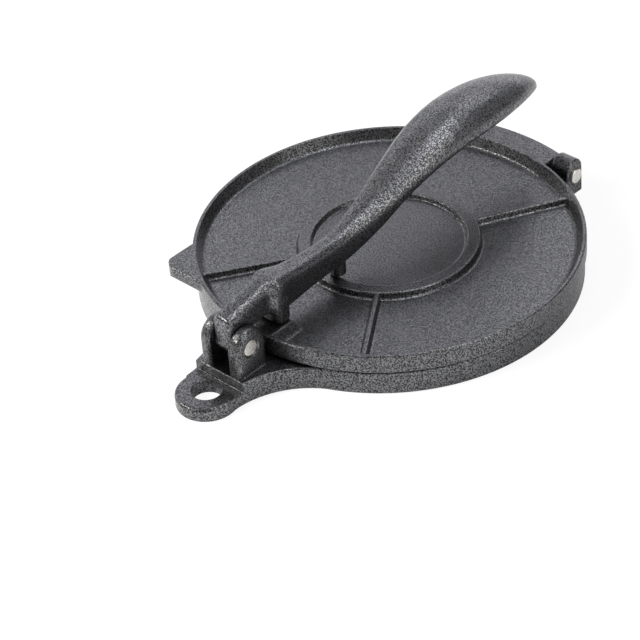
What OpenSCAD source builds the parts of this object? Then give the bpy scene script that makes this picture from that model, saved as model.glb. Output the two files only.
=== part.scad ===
// Hinged tortilla press: a round cast base, a ribbed top plate that opens on a rear
// hinge pin, and a cam lever that turns on a second pin between two ears at the front.
// Units are millimetres, +Z is up, +Y points to the rear hinge, and the origin is the
// centre of the base on the table.

/* [Plates] */
// radius of the top plate
plate_r = 100; // [90:1:110]
// how far the base's edge stands in from the top plate's edge
base_inset = 1; // [0.5:0.1:3]
// height of the base's pressing face over the table
base_top = 13; // [11:0.5:15]
// gap between the two pressing faces when the press is shut
seam = 0.6; // [0.1:0.05:1.5]
// height of the top plate's rim over the table
rim_top = 24.2; // [22:0.1:28]
// thickness of the top plate's floor
floor_t = 4.6; // [3:0.1:7]
// width of the flat land on the rim
rim_land = 2; // [1:0.1:4]
// radius of the top plate's stiffening ring, at the outside of its crest
ring_r = 46.4; // [40:0.2:60]
// width of the ring's crest
ring_w = 6.4; // [4:0.2:10]
// height of the ring's crest over the table
ring_top = 21.9; // [20:0.1:24]
// angle of each rib from the line between the pin and the hinge, at the front
front_rib_angle = 34.3; // [20:0.1:50]
// angle of each rib from the same line, at the rear
rear_rib_angle = 30; // [20:0.5:50]

/* [Rear hinge] */
// distance of the hinge pin behind the plate's edge
hinge_gap = 5.9; // [4:0.1:8]
// height of the hinge pin over the table
hinge_z = 17.4; // [15:0.1:20]
// diameter of the hinge pin
hinge_pin_d = 8; // [6:0.1:10]
// half the width of the top plate's hinge wing
wing_half = 23.2; // [15:0.1:30]
// thickness of each hinge lug
hinge_lug_t = 11.2; // [6:0.1:14]
// length of hinge pin that stands out of each lug
hinge_pin_proud = 1.3; // [0.5:0.1:3]

/* [Front clevis] */
// distance of the lever pin in front of the plate's edge
pivot_gap = 13.2; // [12:0.1:18]
// height of the lever pin over the table
pivot_z = 26.8; // [24:0.1:32]
// diameter of the lever pin
lever_pin_d = 8.5; // [6:0.1:10]
// thickness of each ear
ear_t = 7; // [5:0.1:9]
// radius of each ear's rounded top
ear_r = 10.2; // [8:0.1:12]
// distance of the hanging hole in front of the plate's edge
hole_gap = 33.4; // [28:0.1:40]
// diameter of the hanging hole
hole_d = 15.6; // [8:0.1:20]
// radius of the rounded end that the hanging hole is in
tail_r = 15.8; // [13:0.1:18]
// thickness of the base round the hanging hole
tail_t = 7.7; // [5:0.1:10]

/* [Lever] */
// thickness of the lever's tongue between the ears
tongue_w = 11.9; // [8:0.1:14]
// width of the cam that presses on the top plate
cam_w = 19.4; // [16:0.2:21]
// gap between the cam and its pad when the press is shut
cam_gap = 0.2; // [0.1:0.05:0.5]
// diameter of the stud under the lever
stud_d = 8.4; // [6:0.1:12]

/* [Fits] */
// radial clearance of a pin in the piece that turns on it
pin_clearance = 0.05; // [0.02:0.01:0.1]
// gap on each side of the tongue, between the ears
ear_gap = 0.15; // [0.1:0.05:0.5]
// gap on each side of the wing, between the hinge lugs
wing_gap = 1.4; // [0.5:0.1:3]

/* [Hidden] */
$fn = 128;

cut = 0.5;
edge = 1.2;
paint = [0.23, 0.24, 0.25];
steel = [0.80, 0.79, 0.76];

base_r = plate_r - base_inset;
hinge_y = plate_r + hinge_gap;
pivot_y = plate_r + pivot_gap;
hole_y = plate_r + hole_gap;
plate_bottom = base_top + seam;
floor_top = plate_bottom + floor_t;
hub_top = floor_top + 1.2;
rim_inner = plate_r - rim_land;
wall_foot = rim_inner - 3.2;
ring_inner = ring_r - ring_w;
ring_foot = ring_r + 0.8;

core_depth = 7.5;
core_r = base_r - 6;
core_ring_in = 42;
core_ring_out = 47;
core_hub_r = 8;
core_rib_w = 4;

flare_r = 45;
flare_sum = base_r + flare_r;
tail_sum = tail_r + flare_r;
flare_y = (flare_sum * flare_sum - tail_sum * tail_sum + hole_y * hole_y) / (2 * hole_y);
flare_x = sqrt(flare_sum * flare_sum - flare_y * flare_y);
flare_start = [flare_x, flare_y] * (base_r - 3) / flare_sum;
flare_end = [0, hole_y] + [flare_x, flare_y - hole_y] * (tail_r - 0.8) / tail_sum;
step_y = plate_r + 24;

ear_in = tongue_w / 2 + ear_gap;
ear_out = ear_in + ear_t;
ear_edge = 3;
ear_edge_in = 1.6;
lever_pin_r = lever_pin_d / 2;
lever_pin_half = ear_out - 0.7;
eye_r = lever_pin_r + 2.25;

lug_in = wing_half + wing_gap;
lug_out = lug_in + hinge_lug_t;
lug_r = 6.2;
lug_round_z = hinge_z + 3.4;
lug_foot = 6;
hinge_pin_r = hinge_pin_d / 2;
wing_r = plate_r + 12;
relief_r = 10.1;

tab_x = 0.744 * plate_r;
tab_y = 0.886 * plate_r;
tab_bottom = rim_top - 7.4;
tab_corner = 8;
pad_half = 11;
pad_in = plate_r - 18;

cam_bottom = rim_top + cam_gap;
stud_y = ring_inner - 2;
stud_bottom = ring_top + cam_gap;

// The lever's sections from the tongue to the tip of the grip:
// [y, height of the widest line, rise to the top, drop to the underside, half width,
//  squareness above, squareness below]
tongue_half = tongue_w / 2;
reach = pivot_y / 113.2;
lever_sections = [
    [-119.7, 34.0, 6.4, 5.0, tongue_half - 1.6, 4, 4],
    [-119.3, 34.0, 7.8, 6.2, tongue_half - 0.6, 4, 4],
    [-118.2, 34.0, 8.8, 7.4, tongue_half, 4, 5],
    [-116.0, 34.1, 9.3, 7.8, tongue_half, 4, 5],
    [-110.0, 36.0, 8.8, 7.8, tongue_half, 4, 5],
    [-103.0, 38.2, 8.0, 7.7, tongue_half, 4, 5],
    [-97.0, 39.3, 8.2, 8.0, tongue_half, 4, 5],
    [-92.5, 39.6, 9.1, 8.6, tongue_half + 0.3, 4, 5],
    [-87.0, 39.5, 10.1, 9.2, 8.9, 4, 4],
    [-82.0, 38.5, 10.5, 9.7, 8.5, 4, 4],
    [-74.0, 36.9, 10.2, 9.1, 6.8, 4, 4],
    [-60.0, 36.7, 9.2, 8.0, 6.1, 3.4, 3.6],
    [-45.0, 37.2, 8.4, 8.1, 5.8, 3.2, 3.4],
    [-30.0, 39.6, 8.6, 8.8, 6.8, 2.9, 3.2],
    [-12.0, 45.7, 8.4, 8.0, 9.5, 2.6, 3.0],
    [8.0, 54.2, 8.8, 5.4, 12.6, 2.4, 2.8],
    [30.0, 61.0, 11.0, 4.8, 16.0, 2.3, 2.6],
    [52.0, 63.9, 12.5, 5.3, 17.5, 2.2, 2.5],
    [74.0, 63.9, 11.5, 5.3, 16.9, 2.1, 2.4],
    [92.0, 62.4, 9.1, 4.4, 14.0, 2.0, 2.3],
    [104.0, 59.8, 7.0, 3.7, 9.8, 2.0, 2.2],
    [112.0, 57.1, 4.9, 2.9, 5.8, 2.0, 2.0],
    [116.5, 54.9, 2.9, 1.9, 2.1, 2.0, 2.0]
];
// The cam's sections: [height over its bottom, front y, rear y, share of the full width]
cam_sections = [
    [0, -89.5, -81.7, 0.92],
    [0.5, -90.1, -81.1, 0.97],
    [1.4, -90.5, -80.8, 1],
    [4.0, -90.9, -80.6, 1],
    [7.0, -91.2, -80.4, 1],
    [10.0, -91.6, -80.0, 0.99],
    [13.0, -92.0, -79.4, 0.95],
    [16.0, -92.4, -78.5, 0.86]
];
section_steps = 3;
section_points = 40;
cam_points = 32;

// a corner at p, between a and b, rounded to the radius r with n steps
function unit(v) = v / norm(v);
function turn(d) = d > 180 ? d - 360 : d < -180 ? d + 360 : d;
function corner(a, p, b, r, n) =
    let (u = unit(a - p), v = unit(b - p), half = acos(u * v) / 2)
    let (centre = p + r / sin(half) * unit(u + v))
    let (from = p + r / tan(half) * u - centre, to = p + r / tan(half) * v - centre)
    let (start = atan2(from[1], from[0]), sweep = turn(atan2(to[1], to[0]) - start))
    [for (i = [0:n]) centre + r * [cos(start + sweep * i / n), sin(start + sweep * i / n)]];

// an outline from points [x, y, radius]
function rounded(points, n = 6) =
    let (count = len(points), flat = [for (p = points) [p[0], p[1]]])
    [for (i = [0:count - 1])
        each points[i][2] == 0 ? [flat[i]] :
        corner(flat[(i + count - 1) % count], flat[i], flat[(i + 1) % count], points[i][2], n)];

// a smooth curve through the values b and c, a share f of the way between them
function blend(a, b, c, d, f) =
    0.5 * (2 * b + (c - a) * f + (2 * a - 5 * b + 4 * c - d) * f * f
        + (3 * b - a - 3 * c + d) * f * f * f);
// the lever's section a share f of the way from entry i to the next
function section_at(list, i, f) =
    let (last = len(list) - 1)
    blend(list[max(i - 1, 0)], list[i], list[min(i + 1, last)], list[min(i + 2, last)], f);
function power(v, n) = sign(v) * pow(abs(v), 2 / n);
function ring_of(s, count) =
    [for (k = [0:count - 1])
        let (a = 360 * k / count, up = sin(a) >= 0)
        let (n = up ? s[5] : s[6], rise = up ? s[2] : s[3])
        [s[4] * power(cos(a), n), reach * s[0], s[1] + rise * power(sin(a), n)]];

// the cam's section, square with rounded corners
function cam_ring(s, count) =
    [for (k = [0:count - 1])
        let (a = -360 * k / count)
        [s[3] * cam_w / 2 * power(cos(a), 4),
            reach * (s[1] + s[2] + (s[2] - s[1]) * power(sin(a), 4)) / 2, cam_bottom + s[0]]];

// a skin over rings with the same number of points
module loft(rings) {
    count = len(rings[0]);
    last = len(rings) - 1;
    sides = [for (i = [0:last - 1]) for (k = [0:count - 1]) each [
        [i * count + k, i * count + (k + 1) % count, (i + 1) * count + k],
        [i * count + (k + 1) % count, (i + 1) * count + (k + 1) % count, (i + 1) * count + k]
    ]];
    start = [[for (k = [0:count - 1]) count - 1 - k]];
    end = [[for (k = [0:count - 1]) last * count + k]];
    polyhedron([for (r = rings) each r], concat(sides, start, end), convexity = 6);
}

// a profile drawn in (x, z) and pulled along y
module along_y(points, y0, y1) {
    translate([0, y1, 0])
        rotate([90, 0, 0])
            linear_extrude(y1 - y0)
                polygon(points);
}

// a profile drawn in (y, z) and pulled along x
module along_x(points, x0, x1) {
    translate([x0, 0, 0])
        rotate([90, 0, 90])
            linear_extrude(x1 - x0)
                polygon(points);
}

// a disc pulled along x with rounded edges, its axis at (y, z)
module disc_x(y, z, r, x0, x1, round_lo, round_hi, steps = 6) {
    translate([x0, y, z])
        rotate([0, 90, 0])
            rotate_extrude()
                polygon(rounded([[0, 0, 0], [r, 0, round_lo], [r, x1 - x0, round_hi],
                    [0, x1 - x0, 0]], steps));
}

module rod_x(y, z, r, x0, x1) {
    translate([x0, y, z])
        rotate([0, 90, 0])
            cylinder(r = r, h = x1 - x0);
}

// the part of the base in front of the disc, with two concave sides
module flare(height) {
    difference() {
        linear_extrude(height)
            polygon([[-flare_start[0], -flare_start[1]], [flare_start[0], -flare_start[1]],
                [flare_end[0], -flare_end[1]], [-flare_end[0], -flare_end[1]]]);
        for (side = [-1, 1])
            translate([side * flare_x, -flare_y, 0])
                rotate_extrude()
                    polygon([[0, -cut], [flare_r + edge, -cut], [flare_r + edge, 0],
                        [flare_r, edge],
                        each [for (a = [0:15:90])
                            [flare_r + edge - edge * cos(a), height - edge + edge * sin(a)]],
                        [flare_r + edge, height + cut], [0, height + cut]]);
    }
}

module ear(side) {
    x0 = side > 0 ? ear_in : -ear_out;
    x1 = side > 0 ? ear_out : -ear_in;
    round_lo = side > 0 ? ear_edge_in : ear_edge;
    round_hi = side > 0 ? ear_edge : ear_edge_in;
    disc_x(-pivot_y, pivot_z, ear_r, x0, x1, round_lo, round_hi);
    translate([0, 0, base_top - cut])
        linear_extrude(pivot_z - base_top + cut)
            polygon(rounded([[x0, -pivot_y - ear_r, round_lo], [x1, -pivot_y - ear_r, round_hi],
                [x1, -pivot_y + ear_r, round_hi], [x0, -pivot_y + ear_r, round_lo]]));
    foot_lo = side > 0 ? 0 : 1;
    foot_hi = side > 0 ? 1 : 0;
    along_y(rounded([[x0 - foot_lo, base_top - cut, 0], [x1 + foot_hi, base_top - cut, 0],
        [x1 + foot_hi, base_top, 0], [x1, base_top, 0.8 * foot_hi], [x1, base_top + 2, 0],
        [x0, base_top + 2, 0], [x0, base_top, 0.8 * foot_lo], [x0 - foot_lo, base_top, 0]]),
        -pivot_y - ear_r + ear_edge, -pivot_y + ear_r - ear_edge);
}

module ear_bore(side) {
    rod_x(-pivot_y, pivot_z, lever_pin_r, side > 0 ? 0 : -ear_out - cut, side > 0 ? ear_out + cut : 0);
    translate([side * (ear_out - 0.7), -pivot_y, pivot_z])
        rotate([0, side * 90, 0])
            cylinder(r1 = lever_pin_r, r2 = lever_pin_r + 0.9, h = 0.8);
}

module hinge_lug(side) {
    x0 = side > 0 ? lug_in : -lug_out;
    x1 = side > 0 ? lug_out : -lug_in;
    disc_x(hinge_y - 0.1, lug_round_z, lug_r, x0, x1, edge, edge);
    translate([0, 0, lug_foot])
        linear_extrude(lug_round_z - lug_foot)
            polygon(rounded([[x0, hinge_y - 0.1 - lug_r, edge], [x1, hinge_y - 0.1 - lug_r, edge],
                [x1, hinge_y - 0.1 + lug_r, edge], [x0, hinge_y - 0.1 + lug_r, edge]]));
    along_y(rounded([[x0, lug_foot, edge], [x1, lug_foot, edge],
        [x1, base_top, 0], [x0, base_top, 0]]), base_r - 19, hinge_y);
}

module base_core() {
    difference() {
        cylinder(r = core_r, h = core_depth);
        difference() {
            cylinder(r = core_ring_out, h = core_depth);
            translate([0, 0, -cut])
                cylinder(r = core_ring_in, h = core_depth + 2 * cut);
        }
        cylinder(r = core_hub_r, h = core_depth);
        for (a = [0, 90])
            rotate([0, 0, a])
                translate([-core_r, -core_rib_w / 2, 0])
                    cube([2 * core_r, core_rib_w, core_depth]);
    }
}

module base_plate() {
    color(paint)
        difference() {
            union() {
                rotate_extrude()
                    polygon(rounded([[0, 0, 0], [base_r, 0, 1.5], [base_r, base_top, 0.8],
                        [0, base_top, 0]]));
                intersection() {
                    flare(base_top);
                    along_x(rounded([[-base_r / 2, -cut, 0], [-base_r / 2, base_top, 0],
                        [-step_y, base_top, 0.7], [-step_y, tail_t, 0.5],
                        [-hole_y, tail_t, 0], [-hole_y, -cut, 0]]), -flare_x, flare_x);
                }
                flare(tail_t);
                translate([0, -hole_y, 0])
                    rotate_extrude()
                        polygon(rounded([[0, 0, 0], [tail_r, 0, edge], [tail_r, tail_t, edge + 0.6],
                            [0, tail_t, 0]]));
                for (side = [-1, 1]) {
                    ear(side);
                    hinge_lug(side);
                }
            }
            translate([0, 0, -cut])
                base_core_cut();
            translate([0, -hole_y, -cut])
                cylinder(r = hole_d / 2, h = tail_t + 2 * cut);
            for (side = [-1, 1])
                ear_bore(side);
            rod_x(hinge_y, hinge_z, hinge_pin_r, -lug_out - cut, lug_out + cut);
        }
}

module base_core_cut() {
    scale([1, 1, (core_depth + cut) / core_depth])
        base_core();
}

module top_profile() {
    polygon(rounded([[0, plate_bottom, 0], [plate_r, plate_bottom, edge],
        [plate_r, rim_top, 1], [rim_inner, rim_top, 0.4], [wall_foot, floor_top, 2.2],
        [ring_foot, floor_top, 1.4], [ring_r, ring_top, 0.9], [ring_inner, ring_top, 0.9],
        [ring_inner - 1.1, hub_top, 1], [0, hub_top, 0]]));
}

module plate_rib(angle) {
    rotate([0, 0, angle + 90])
        along_y(rounded([[-4, floor_top - 1, 0], [-4, floor_top, 0], [-2, floor_top, 1],
            [-1.2, ring_top - 0.4, 0.7], [1.2, ring_top - 0.4, 0.7], [2, floor_top, 1],
            [4, floor_top, 0], [4, floor_top - 1, 0]]), -wall_foot - 1.5, -ring_r + 1);
}

module cam_pad() {
    intersection() {
        along_y(rounded([[-pad_half - 6, floor_top - 1, 0], [-pad_half - 6, floor_top, 0],
            [-pad_half - 2.3, floor_top, 1.6], [-pad_half, rim_top, 1], [pad_half, rim_top, 1],
            [pad_half + 2.3, floor_top, 1.6], [pad_half + 6, floor_top, 0],
            [pad_half + 6, floor_top - 1, 0]]), -rim_inner - 0.5, -pad_in + 12);
        along_x(rounded([[-rim_inner - 1, floor_top - 2, 0], [-rim_inner - 1, rim_top, 0],
            [-pad_in, rim_top, 1], [-pad_in + 1.6, floor_top, 1.6], [-pad_in + 6, floor_top, 0],
            [-pad_in + 6, floor_top - 2, 0]]), -plate_r / 2, plate_r / 2);
    }
}

module hand_tab() {
    difference() {
        intersection() {
            translate([0, 0, tab_bottom])
                linear_extrude(rim_top - tab_bottom)
                    polygon(rounded([[-tab_x, -tab_y, tab_corner], [-tab_x, -tab_y / 2, 0],
                        [-tab_x / 2, -tab_y / 2, 0], [-tab_x / 2, -tab_y, 0]]));
            along_y(rounded([[-tab_x, tab_bottom, 2.5], [-tab_x, rim_top, 1],
                [-tab_x / 2, rim_top, 0], [-tab_x / 2, tab_bottom, 0]]), -plate_r, 0);
            along_x(rounded([[-tab_y, tab_bottom, 2.5], [-tab_y, rim_top, 1],
                [-tab_y / 2, rim_top, 0], [-tab_y / 2, tab_bottom, 0]]), -plate_r, 0);
        }
        translate([0, 0, tab_bottom - cut])
            cylinder(r = rim_inner + 0.6, h = rim_top);
    }
}

module hinge_wing() {
    difference() {
        union() {
            intersection() {
                rotate_extrude()
                    polygon(rounded([[wall_foot, hinge_z, 0], [wing_r, hinge_z, 0],
                        [wing_r, rim_top, 1], [wall_foot, rim_top, 0]]));
                along_y(rounded([[-wing_half, plate_bottom, 0], [-wing_half, rim_top, 0.8],
                    [wing_half, rim_top, 0.8], [wing_half, plate_bottom, 0]]),
                    wall_foot - 10, wing_r + 1);
            }
            translate([-wing_half, wall_foot - 5, plate_bottom])
                cube([2 * wing_half, hinge_y - wall_foot + 5, hinge_z - plate_bottom + cut]);
            disc_x(hinge_y, hinge_z, lug_r, -wing_half, wing_half, 0.6, 0.6);
        }
        translate([0, 0, plate_bottom - cut])
            cylinder(r = rim_inner + 0.6, h = rim_top);
    }
}

module top_plate() {
    color(paint)
        difference() {
            union() {
                rotate_extrude()
                    top_profile();
                for (side = [-1, 1]) {
                    plate_rib(-90 + side * front_rib_angle);
                    plate_rib(90 + side * rear_rib_angle);
                }
                cam_pad();
                hand_tab();
                hinge_wing();
            }
            rod_x(hinge_y, hinge_z, hinge_pin_r + pin_clearance, -wing_half - 1, wing_half + 1);
            rod_x(hinge_y, hinge_z, relief_r, wing_half, lug_out + 2);
            rod_x(hinge_y, hinge_z, relief_r, -lug_out - 2, -wing_half);
        }
}

module cam() {
    loft([for (s = cam_sections) cam_ring(s, cam_points)]);
}

module lever() {
    spans = len(lever_sections) - 1;
    rings = [for (i = [0:spans - 1]) for (j = [0:section_steps - 1])
        ring_of(section_at(lever_sections, i, j / section_steps), section_points)];
    tip = ring_of(lever_sections[spans], section_points);
    color(paint)
        difference() {
            union() {
                loft(concat(rings, [tip]));
                disc_x(-pivot_y, pivot_z, eye_r, -tongue_half, tongue_half, 1, 1, 3);
                cam();
                translate([0, -stud_y, stud_bottom])
                    rotate_extrude()
                        polygon(rounded([[0, 0, 0], [stud_d / 2, 0, 0.8], [stud_d / 2, 18, 0],
                            [0, 18, 0]], 3));
            }
            rod_x(-pivot_y, pivot_z, lever_pin_r + pin_clearance, -tongue_w, tongue_w);
        }
}

module lever_pin() {
    color(steel)
        disc_x(-pivot_y, pivot_z, lever_pin_r, -lever_pin_half, lever_pin_half, 0.4, 0.4);
}

module hinge_pin() {
    half = lug_out + hinge_pin_proud;
    color(steel)
        disc_x(hinge_y, hinge_z, hinge_pin_r, -half, half, 0.5, 0.5);
}

base_plate();
top_plate();
lever();
lever_pin();
hinge_pin();
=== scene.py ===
"""Looks of a hinged tortilla press: three painted castings on two steel pins.

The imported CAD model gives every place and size. Units are metres, +Z is up, +Y points to the
rear hinge, and the origin is the centre of the base on the table.
"""

import logging
import math
from dataclasses import dataclass, field
from enum import Enum
from typing import Any

import bmesh
import bpy
from mathutils import Matrix, Vector


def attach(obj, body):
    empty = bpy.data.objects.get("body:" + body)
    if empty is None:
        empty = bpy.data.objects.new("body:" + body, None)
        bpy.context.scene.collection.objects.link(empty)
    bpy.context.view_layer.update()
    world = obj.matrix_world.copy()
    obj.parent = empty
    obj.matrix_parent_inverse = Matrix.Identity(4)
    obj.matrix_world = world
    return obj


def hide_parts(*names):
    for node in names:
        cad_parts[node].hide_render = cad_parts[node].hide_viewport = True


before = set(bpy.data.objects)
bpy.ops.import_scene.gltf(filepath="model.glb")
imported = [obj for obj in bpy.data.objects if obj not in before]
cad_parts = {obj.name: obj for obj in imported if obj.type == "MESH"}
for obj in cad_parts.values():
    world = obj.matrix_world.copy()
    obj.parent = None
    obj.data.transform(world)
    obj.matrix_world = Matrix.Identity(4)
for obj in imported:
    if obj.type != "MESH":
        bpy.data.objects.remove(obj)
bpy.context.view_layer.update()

LOG = logging.getLogger("press")

Color = tuple[float, float, float]
Triple = tuple[float, float, float]

WHITE: Color = (1.0, 1.0, 1.0)


class Slot(Enum):
    """The record's material slots."""

    PAINT = "hammertone"
    STEEL = "pin_steel"


class Part(Enum):
    """The castings and pins of the press, by the name of their CAD node."""

    BASE = "base_plate"
    PLATE = "top_plate"
    LEVER = "lever"
    LEVER_PIN = "lever_pin"
    HINGE_PIN = "hinge_pin"

    @property
    def slot(self) -> Slot:
        """The material slot that the part belongs to."""
        return Slot.STEEL if self in (Part.LEVER_PIN, Part.HINGE_PIN) else Slot.PAINT


class Graph:
    """Short calls that add and wire the nodes of one shader tree."""

    def __init__(self, tree: bpy.types.NodeTree) -> None:
        """Keeps the tree.

        Args:
            tree: The tree that nodes are added to.
        """
        self.tree = tree

    def add(
        self, kind: str, inputs: dict[Any, Any] | None = None, **settings: Any
    ) -> bpy.types.Node:
        """Adds one node.

        Args:
            kind: Blender's type name without its ShaderNode prefix.
            inputs: Socket name or index to a plain value or an output socket.
            **settings: Properties of the node itself.

        Returns:
            The new node.
        """
        node = self.tree.nodes.new("ShaderNode" + kind)
        for name, value in settings.items():
            setattr(node, name, value)
        for key, value in (inputs or {}).items():
            if isinstance(value, bpy.types.NodeSocket):
                self.tree.links.new(value, node.inputs[key])
            else:
                node.inputs[key].default_value = value
        return node

    def math(self, operation: str, *values: Any) -> bpy.types.NodeSocket:
        """Adds a Math node and returns its output."""
        return self.add("Math", dict(enumerate(values)), operation=operation).outputs[0]

    def ramp(
        self, value: Any, low: Any, high: Any, to_low: float = 0.0, to_high: float = 1.0
    ) -> bpy.types.NodeSocket:
        """Maps a value smoothly from one range to another, clamped.

        Args:
            value: The socket that is mapped.
            low: The value or socket that gives to_low.
            high: The value or socket that gives to_high.
            to_low: The result at the low end.
            to_high: The result at the high end.

        Returns:
            The output socket.
        """
        inputs = {
            "Value": value, "From Min": low, "From Max": high,
            "To Min": to_low, "To Max": to_high,
        }
        node = self.add("MapRange", inputs, interpolation_type="SMOOTHSTEP")
        return node.outputs["Result"]

    def noise(
        self, place: Any, scale: Any, detail: float, roughness: float = 0.5
    ) -> bpy.types.NodeSocket:
        """Adds a noise texture.

        Args:
            place: The socket with the coordinates.
            scale: Cells per metre, as a value or a socket.
            detail: How many finer layers it has.
            roughness: The strength of each finer layer.

        Returns:
            The noise between 0 and 1.
        """
        inputs = {"Vector": place, "Scale": scale, "Detail": detail, "Roughness": roughness}
        return self.add("TexNoise", inputs).outputs["Fac"]

    def mix(self, factor: Any, first: Any, second: Any) -> bpy.types.NodeSocket:
        """Mixes two colours and returns the result."""
        node = self.add("Mix", {0: factor, 6: first, 7: second}, data_type="RGBA")
        return node.outputs[2]


def rgba(color: Color) -> tuple[float, float, float, float]:
    """Adds a full alpha to a colour."""
    return (*color, 1.0)


class Effects:
    """Shader groups that several finishes share."""

    noise_detail: float = 1.5
    noise_roughness: float = 0.55
    fine_ratio: float = 2.3
    fleck_range: tuple[float, float] = (0.56, 0.68)
    fine_height: float = 0.3
    haze_detail: float = 3.0
    haze_range: tuple[float, float] = (0.3, 0.7)

    def __init__(self) -> None:
        """Builds each group once."""
        self.hammer = self._hammer()
        self.haze = self._haze()

    @staticmethod
    def _group(
        name: str, inputs: dict[str, float], outputs: tuple[str, ...]
    ) -> tuple[bpy.types.NodeTree, Graph, bpy.types.Node, bpy.types.Node]:
        """Starts a group with a vector input, value inputs and value outputs.

        Args:
            name: The group's name.
            inputs: Input name to its default value.
            outputs: The names of the outputs.

        Returns:
            The tree, its graph, its input node and its output node.
        """
        tree = bpy.data.node_groups.new(name, "ShaderNodeTree")
        tree.interface.new_socket("Vector", in_out="INPUT", socket_type="NodeSocketVector")
        for key, value in inputs.items():
            socket = tree.interface.new_socket(key, in_out="INPUT", socket_type="NodeSocketFloat")
            socket.default_value = value
        for key in outputs:
            tree.interface.new_socket(key, in_out="OUTPUT", socket_type="NodeSocketFloat")
        start = tree.nodes.new("NodeGroupInput")
        end = tree.nodes.new("NodeGroupOutput")
        return tree, Graph(tree), start, end

    def _hammer(self) -> bpy.types.NodeTree:
        """Hammered paint: pits between lighter, raised paint, with bright flecks. The pits are
        later darkened in colour as painted shade.

        Returns:
            The group, with the outputs Pits, Flecks and Height.
        """
        inputs = {"Cells per metre": 900.0, "Pit share": 0.5, "Edge": 0.05}
        tree, g, start, end = self._group("hammered_paint", inputs, ("Pits", "Flecks", "Height"))
        place, scale = start.outputs["Vector"], start.outputs["Cells per metre"]
        share, edge = start.outputs["Pit share"], start.outputs["Edge"]
        coarse = g.noise(place, scale, self.noise_detail, self.noise_roughness)
        fine = g.noise(place, g.math("MULTIPLY", scale, self.fine_ratio), self.noise_detail)
        low = g.math("SUBTRACT", share, edge)
        high = g.math("ADD", share, edge)
        pits = g.ramp(coarse, low, high, 1.0, 0.0)
        flecks = g.ramp(fine, *self.fleck_range)
        raised = g.math("SUBTRACT", 1.0, pits)
        height = g.math("MULTIPLY_ADD", fine, self.fine_height, raised)
        tree.links.new(pits, end.inputs["Pits"])
        tree.links.new(flecks, end.inputs["Flecks"])
        tree.links.new(height, end.inputs["Height"])
        return tree

    def _haze(self) -> bpy.types.NodeTree:
        """Slow changes over a casting, from uneven paint.

        Returns:
            The group, with the output Haze around 0.5.
        """
        inputs = {"Patches per metre": 30.0}
        tree, g, start, end = self._group("uneven_paint", inputs, ("Haze",))
        patches = g.noise(start.outputs["Vector"], start.outputs["Patches per metre"],
                          self.haze_detail, self.noise_roughness)
        tree.links.new(g.ramp(patches, *self.haze_range), end.inputs["Haze"])
        return tree


@dataclass(frozen=True)
class HammerPaint:
    """Dark grey hammered paint over a cast surface, with painted shade darkening its pits."""

    name: str = "hammered_grey"
    # The pits' colour is painted shade, standing in for the shade and dark reflections in the
    # dimples.
    painted_pit_shade: Color = (0.030, 0.030, 0.032)
    mid: Color = (0.158, 0.159, 0.165)
    light: Color = (0.27, 0.272, 0.283)
    cells: float = 1300.0
    floor_cells: float = 1500.0
    floor_share: float = 1.0
    floor_pits: float = 0.85
    floor_relief: float = 0.25
    flat_from: float = 0.93
    flat_to: float = 0.985
    fleck_share: float = 0.8
    roughness: float = 0.27
    floor_roughness: float = 0.23
    pit_roughness: float = 0.08
    haze_roughness: float = 0.06
    metallic: float = 1.0
    coat: float = 0.25
    coat_roughness: float = 0.22
    bump: float = 0.4
    bump_depth: float = 0.00022
    edge_radius: float = 0.0007

    def build(self, effects: Effects) -> bpy.types.Material:
        """Makes the material.

        Args:
            effects: The shared shader groups.

        Returns:
            The finished material.
        """
        material = bpy.data.materials.new(self.name)
        material.use_nodes = True
        g = Graph(material.node_tree)
        shader = material.node_tree.nodes["Principled BSDF"]
        place = g.add("TexCoord").outputs["Object"]
        normal = g.add("NewGeometry").outputs["Normal"]
        up = g.add("SeparateXYZ", {0: normal}).outputs["Z"]
        flat = g.ramp(up, self.flat_from, self.flat_to, 0.0, self.floor_share)
        coarse = self._group(g, effects.hammer, place, self.cells).outputs
        fine = self._group(g, effects.hammer, place, self.floor_cells).outputs
        # Upward faces get finer pits with 0.85 of the painted pit shade.
        floor_pits = g.math("MULTIPLY", fine["Pits"], self.floor_pits)
        floor_height = g.math("MULTIPLY", fine["Height"], self.floor_relief)
        pits = self._blend(g, flat, coarse["Pits"], floor_pits)
        flecks = self._blend(g, flat, coarse["Flecks"], fine["Flecks"])
        height = self._blend(g, flat, coarse["Height"], floor_height)
        haze = g.add("Group", {"Vector": place}, node_tree=effects.haze).outputs["Haze"]
        lit = g.math("MULTIPLY", flecks, self.fleck_share)
        base = g.mix(lit, rgba(self.mid), rgba(self.light))
        # Painted shade: the pits mask darkens the colour in the dimples.
        color = g.mix(pits, base, rgba(self.painted_pit_shade))
        own = g.ramp(flat, 0.0, 1.0, self.roughness, self.floor_roughness)
        hazy = g.math("MULTIPLY_ADD", haze, self.haze_roughness, own)
        rough = g.math("MULTIPLY_ADD", pits, self.pit_roughness, hazy)
        soft = g.add("Bevel", {"Radius": self.edge_radius}, samples=4)
        bump = g.add("Bump", {"Height": height, "Strength": self.bump, "Distance": self.bump_depth,
                              "Normal": soft.outputs["Normal"]})
        links = material.node_tree.links
        links.new(color, shader.inputs["Base Color"])
        links.new(rough, shader.inputs["Roughness"])
        links.new(bump.outputs["Normal"], shader.inputs["Normal"])
        shader.inputs["Metallic"].default_value = self.metallic
        shader.inputs["Coat Weight"].default_value = self.coat
        shader.inputs["Coat Roughness"].default_value = self.coat_roughness
        return material

    @staticmethod
    def _group(g: Graph, tree: bpy.types.NodeTree, place: Any, cells: float) -> bpy.types.Node:
        """Adds the hammered-paint group at one scale."""
        return g.add("Group", {"Vector": place, "Cells per metre": cells}, node_tree=tree)

    @staticmethod
    def _blend(g: Graph, factor: Any, first: Any, second: Any) -> bpy.types.NodeSocket:
        """Mixes two values and returns the result."""
        return g.add("Mix", {0: factor, 2: first, 3: second}, data_type="FLOAT").outputs[0]


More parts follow.
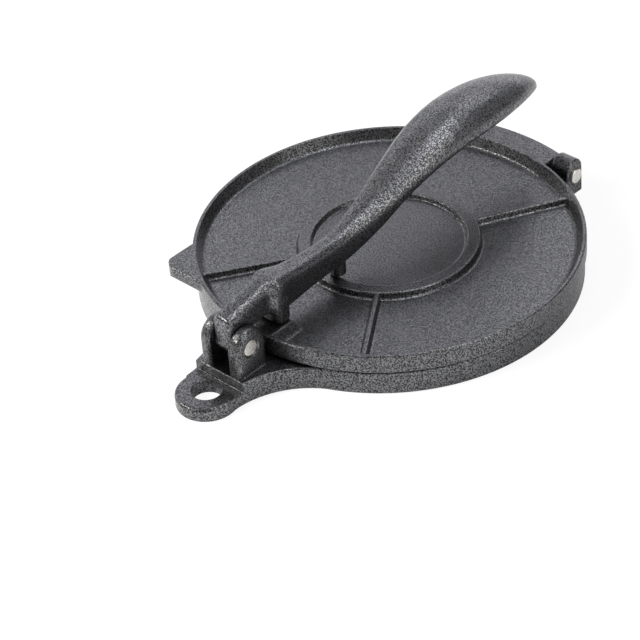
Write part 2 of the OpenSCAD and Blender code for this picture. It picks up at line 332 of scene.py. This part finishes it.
@dataclass(frozen=True)
class PinSteel:
    """Bare turned steel of the two pins."""

    name: str = "turned_steel"
    color: Color = (0.84, 0.81, 0.76)
    stain: float = 0.78
    stain_patches: float = 400.0
    roughness: float = 0.26
    stain_roughness: float = 0.15
    grain: float = 2500.0
    grain_detail: float = 2.0
    bump: float = 0.15
    bump_depth: float = 0.0001

    def build(self, effects: Effects) -> bpy.types.Material:
        """Makes the material.

        Args:
            effects: The shared shader groups.

        Returns:
            The finished material.
        """
        material = bpy.data.materials.new(self.name)
        material.use_nodes = True
        g = Graph(material.node_tree)
        shader = material.node_tree.nodes["Principled BSDF"]
        place = g.add("TexCoord").outputs["Object"]
        patches = {"Vector": place, "Patches per metre": self.stain_patches}
        haze = g.add("Group", patches, node_tree=effects.haze).outputs["Haze"]
        grain = g.noise(place, self.grain, self.grain_detail)
        stained = tuple(self.stain * channel for channel in self.color)
        color = g.mix(haze, rgba(self.color), rgba(stained))
        rough = g.math("MULTIPLY_ADD", haze, self.stain_roughness, self.roughness)
        bump = g.add("Bump", {"Height": grain, "Strength": self.bump,
                              "Distance": self.bump_depth})
        links = material.node_tree.links
        links.new(color, shader.inputs["Base Color"])
        links.new(rough, shader.inputs["Roughness"])
        links.new(bump.outputs["Normal"], shader.inputs["Normal"])
        shader.inputs["Metallic"].default_value = 1.0
        return material


@dataclass(frozen=True)
class Softbox:
    """One flat lamp that looks at the press.

    bearing is in degrees from +X towards +Y, lift in degrees above the table, and the sizes
    are in metres. A lamp that doesn't light the press lights only what is matt: the floor.
    """

    name: str
    bearing: float
    lift: float
    width: float
    height: float
    radiance: float
    tint: Color = WHITE
    lights_floor: bool = True
    lights_press: bool = True
    distance: float = 1.8

    def build(self) -> None:
        """Makes the lamp, with its power worked out from its size and radiance."""
        data = bpy.data.lights.new(self.name, "AREA")
        data.shape = "RECTANGLE"
        data.size = self.width
        data.size_y = self.height
        data.energy = math.pi * self.width * self.height * self.radiance
        data.color = self.tint
        turn, lift = math.radians(self.bearing), math.radians(self.lift)
        out = math.cos(lift)
        toward = Vector((out * math.cos(turn), out * math.sin(turn), math.sin(lift)))
        lamp = bpy.data.objects.new(self.name, data)
        lamp.location = self.distance * toward
        lamp.visible_diffuse = self.lights_floor
        lamp.visible_glossy = self.lights_press
        lamp.rotation_euler = (-toward).to_track_quat("-Z", "Y").to_euler()
        bpy.context.scene.collection.objects.link(lamp)


WARM: Color = (1.01, 1.0, 0.95)
COOL: Color = (0.98, 0.98, 1.04)
SOFTBOXES: tuple[Softbox, ...] = (
    Softbox("left_softbox", 232, 42, 1.3, 0.55, 8.4, WARM),
    Softbox("floor_softbox", 236, 36, 1.4, 0.6, 16.0, lights_press=False),
    Softbox("corner_softbox", 186, 14, 0.3, 0.3, 10.0, WARM, lights_floor=False),
    Softbox("right_strip_high", 5, 60, 0.8, 0.8, 2.7, lights_floor=False),
    Softbox("right_strip_mid", 0, 35, 0.8, 0.7, 2.4, WARM, lights_floor=False),
    Softbox("right_strip_low", 0, 12, 0.8, 0.7, 2.2, WARM, lights_floor=False),
    Softbox("top_softbox", 80, 81, 1.1, 0.9, 3.3, COOL),
    Softbox("back_sky", 135, 27, 2.4, 1.2, 0.6, COOL, lights_floor=False),
    Softbox("back_left_softbox", 156, 37, 0.9, 0.9, 0.7, COOL, lights_floor=False),
    Softbox("back_softbox", 108, 47, 0.9, 0.6, 1.8, COOL, lights_floor=False),
    Softbox("back_strip_low", 120, 9, 1.8, 0.5, 0.85, COOL, lights_floor=False),
)


@dataclass
class Studio:
    """White sweep, soft light and the camera.

    floor_glow is the share of its own white that the floor shows to the camera, and
    mirrored_glow the share that it shows in a reflection. The rest is lit by the lamps.
    """

    eye: Triple = (0.75796, -0.79039, 0.80836)
    right: Triple = (0.730705, 0.679518, -0.065770)
    up: Triple = (-0.375745, 0.480734, 0.792282)
    lens: float = 149.33
    sensor: float = 36.0
    clip_start: float = 0.01
    floor_size: float = 60.0
    floor_color: Color = (0.9, 0.9, 0.9)
    floor_white: float = 1.06
    floor_glow: float = 0.85
    mirrored_glow: float = 0.25
    world_glow: float = 0.22

    def build(self) -> None:
        """Makes the camera, the world, the floor and the lamps."""
        self._camera()
        self._world()
        self._floor()
        for softbox in SOFTBOXES:
            softbox.build()
        bpy.context.scene.view_settings.view_transform = "Standard"

    def _camera(self) -> None:
        """Makes the camera from its place and its two picture axes."""
        data = bpy.data.cameras.new("camera")
        data.sensor_width = self.sensor
        data.lens = self.lens
        data.clip_start = self.clip_start
        camera = bpy.data.objects.new("camera", data)
        bpy.context.scene.collection.objects.link(camera)
        right, up = Vector(self.right).normalized(), Vector(self.up).normalized()
        back = right.cross(up)
        turn = Matrix((right, up, back)).transposed().to_4x4()
        camera.matrix_world = Matrix.Translation(self.eye) @ turn
        bpy.context.scene.camera = camera

    def _world(self) -> None:
        """Makes the world, an even soft grey."""
        world = bpy.data.worlds.new("studio")
        bpy.context.scene.world = world
        world.use_nodes = True
        shade = world.node_tree.nodes["Background"]
        shade.inputs["Color"].default_value = rgba(WHITE)
        shade.inputs["Strength"].default_value = self.world_glow

    def _floor(self) -> None:
        """Makes the pale floor, which keeps a faint shadow."""
        half = self.floor_size / 2
        corners = [(-half, -half, 0), (half, -half, 0), (half, half, 0), (-half, half, 0)]
        mesh = bpy.data.meshes.new("studio_floor")
        mesh.from_pydata([Vector(c) for c in corners], [], [(0, 1, 2, 3)])
        floor = bpy.data.objects.new("studio_floor", mesh)
        bpy.context.scene.collection.objects.link(floor)
        material = bpy.data.materials.new("white_sweep")
        material.use_nodes = True
        g = Graph(material.node_tree)
        nodes = material.node_tree.nodes
        nodes.remove(nodes["Principled BSDF"])
        diffuse = g.add("BsdfDiffuse", {"Color": rgba(self.floor_color)})
        glow = g.add("Emission", {"Color": rgba(WHITE), "Strength": self.floor_white})
        path = g.add("LightPath").outputs
        seen = g.math("MAXIMUM", path["Is Camera Ray"], path["Is Transmission Ray"])
        direct = g.math("MULTIPLY", seen, self.floor_glow)
        mirrored = g.math("MULTIPLY", path["Is Glossy Ray"], self.mirrored_glow)
        share = g.math("MAXIMUM", direct, mirrored)
        mix = g.add("MixShader", {0: share, 1: diffuse.outputs[0], 2: glow.outputs[0]})
        material.node_tree.links.new(mix.outputs[0], nodes["Material Output"].inputs["Surface"])
        mesh.materials.append(material)


@dataclass
class LeverCasting:
    """The lever with its facets melted into one smooth skin, as a casting has."""

    name: str = "lever_casting"
    body: str = "handle"
    voxel: float = 0.0006
    passes: int = 8
    factor: float = 0.5
    merge_distance: float = 1e-6

    def build(self, paint: bpy.types.Material) -> bpy.types.Object:
        """Makes the piece and lets it stand for the CAD node.

        Args:
            paint: The finish, a lighter copy of the hammered paint that paints light onto the
                lever.

        Returns:
            The finished piece.
        """
        piece = bpy.data.objects.new(self.name, self._merged_copy())
        bpy.context.scene.collection.objects.link(piece)
        remesh = piece.modifiers.new("skin", "REMESH")
        remesh.mode = "VOXEL"
        remesh.voxel_size = self.voxel
        melt = piece.modifiers.new("melt", "SMOOTH")
        melt.iterations = self.passes
        melt.factor = self.factor
        ready = piece.evaluated_get(bpy.context.evaluated_depsgraph_get())
        mesh = bpy.data.meshes.new_from_object(ready)
        piece.modifiers.clear()
        piece.data = mesh
        mesh.shade_smooth()
        mesh.materials.clear()
        mesh.materials.append(paint)
        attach(piece, self.body)
        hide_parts(Part.LEVER.value)
        LOG.info("%s: %d faces", self.name, len(mesh.polygons))
        return piece

    def _merged_copy(self) -> bpy.types.Mesh:
        """Copies the CAD lever's mesh and merges its loose triangles.

        Returns:
            The copy.
        """
        shape = bmesh.new()
        shape.from_mesh(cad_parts[Part.LEVER.value].data)
        bmesh.ops.remove_doubles(shape, verts=shape.verts, dist=self.merge_distance)
        mesh = bpy.data.meshes.new("lever_skin")
        shape.to_mesh(mesh)
        shape.free()
        return mesh


@dataclass
class Dresser:
    """Puts the finishes on the CAD solids."""

    effects: Effects
    paint: HammerPaint = field(default_factory=HammerPaint)
    # Painted light: the lever's paint is a lighter copy of the plates' hammered paint, brightening
    # the lever.
    lever_brightened_paint: HammerPaint = field(default_factory=lambda: HammerPaint(
        name="hammered_lever_brightened", painted_pit_shade=(0.042, 0.042, 0.045), mid=(0.178, 0.179, 0.187),
        light=(0.32, 0.322, 0.334), floor_share=0.0, roughness=0.25, bump=0.48))
    steel: PinSteel = field(default_factory=PinSteel)

    def build(self) -> None:
        """Dresses every CAD node and makes the pieces that replace one."""
        finishes = {Slot.PAINT: self.paint.build(self.effects)}
        lever_brightened_finish = self.lever_brightened_paint.build(self.effects)
        finishes[Slot.STEEL] = self.steel.build(self.effects)
        for part in Part:
            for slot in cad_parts[part.value].material_slots:
                slot.material = finishes[part.slot]
            LOG.info("%s dressed", part.value)
        LeverCasting().build(lever_brightened_finish)


def main() -> None:
    """Builds the scene in order."""
    logging.basicConfig(level=logging.INFO, format="%(name)s: %(message)s")
    Studio().build()
    Dresser(Effects()).build()


if __name__ == "__main__":
    main()
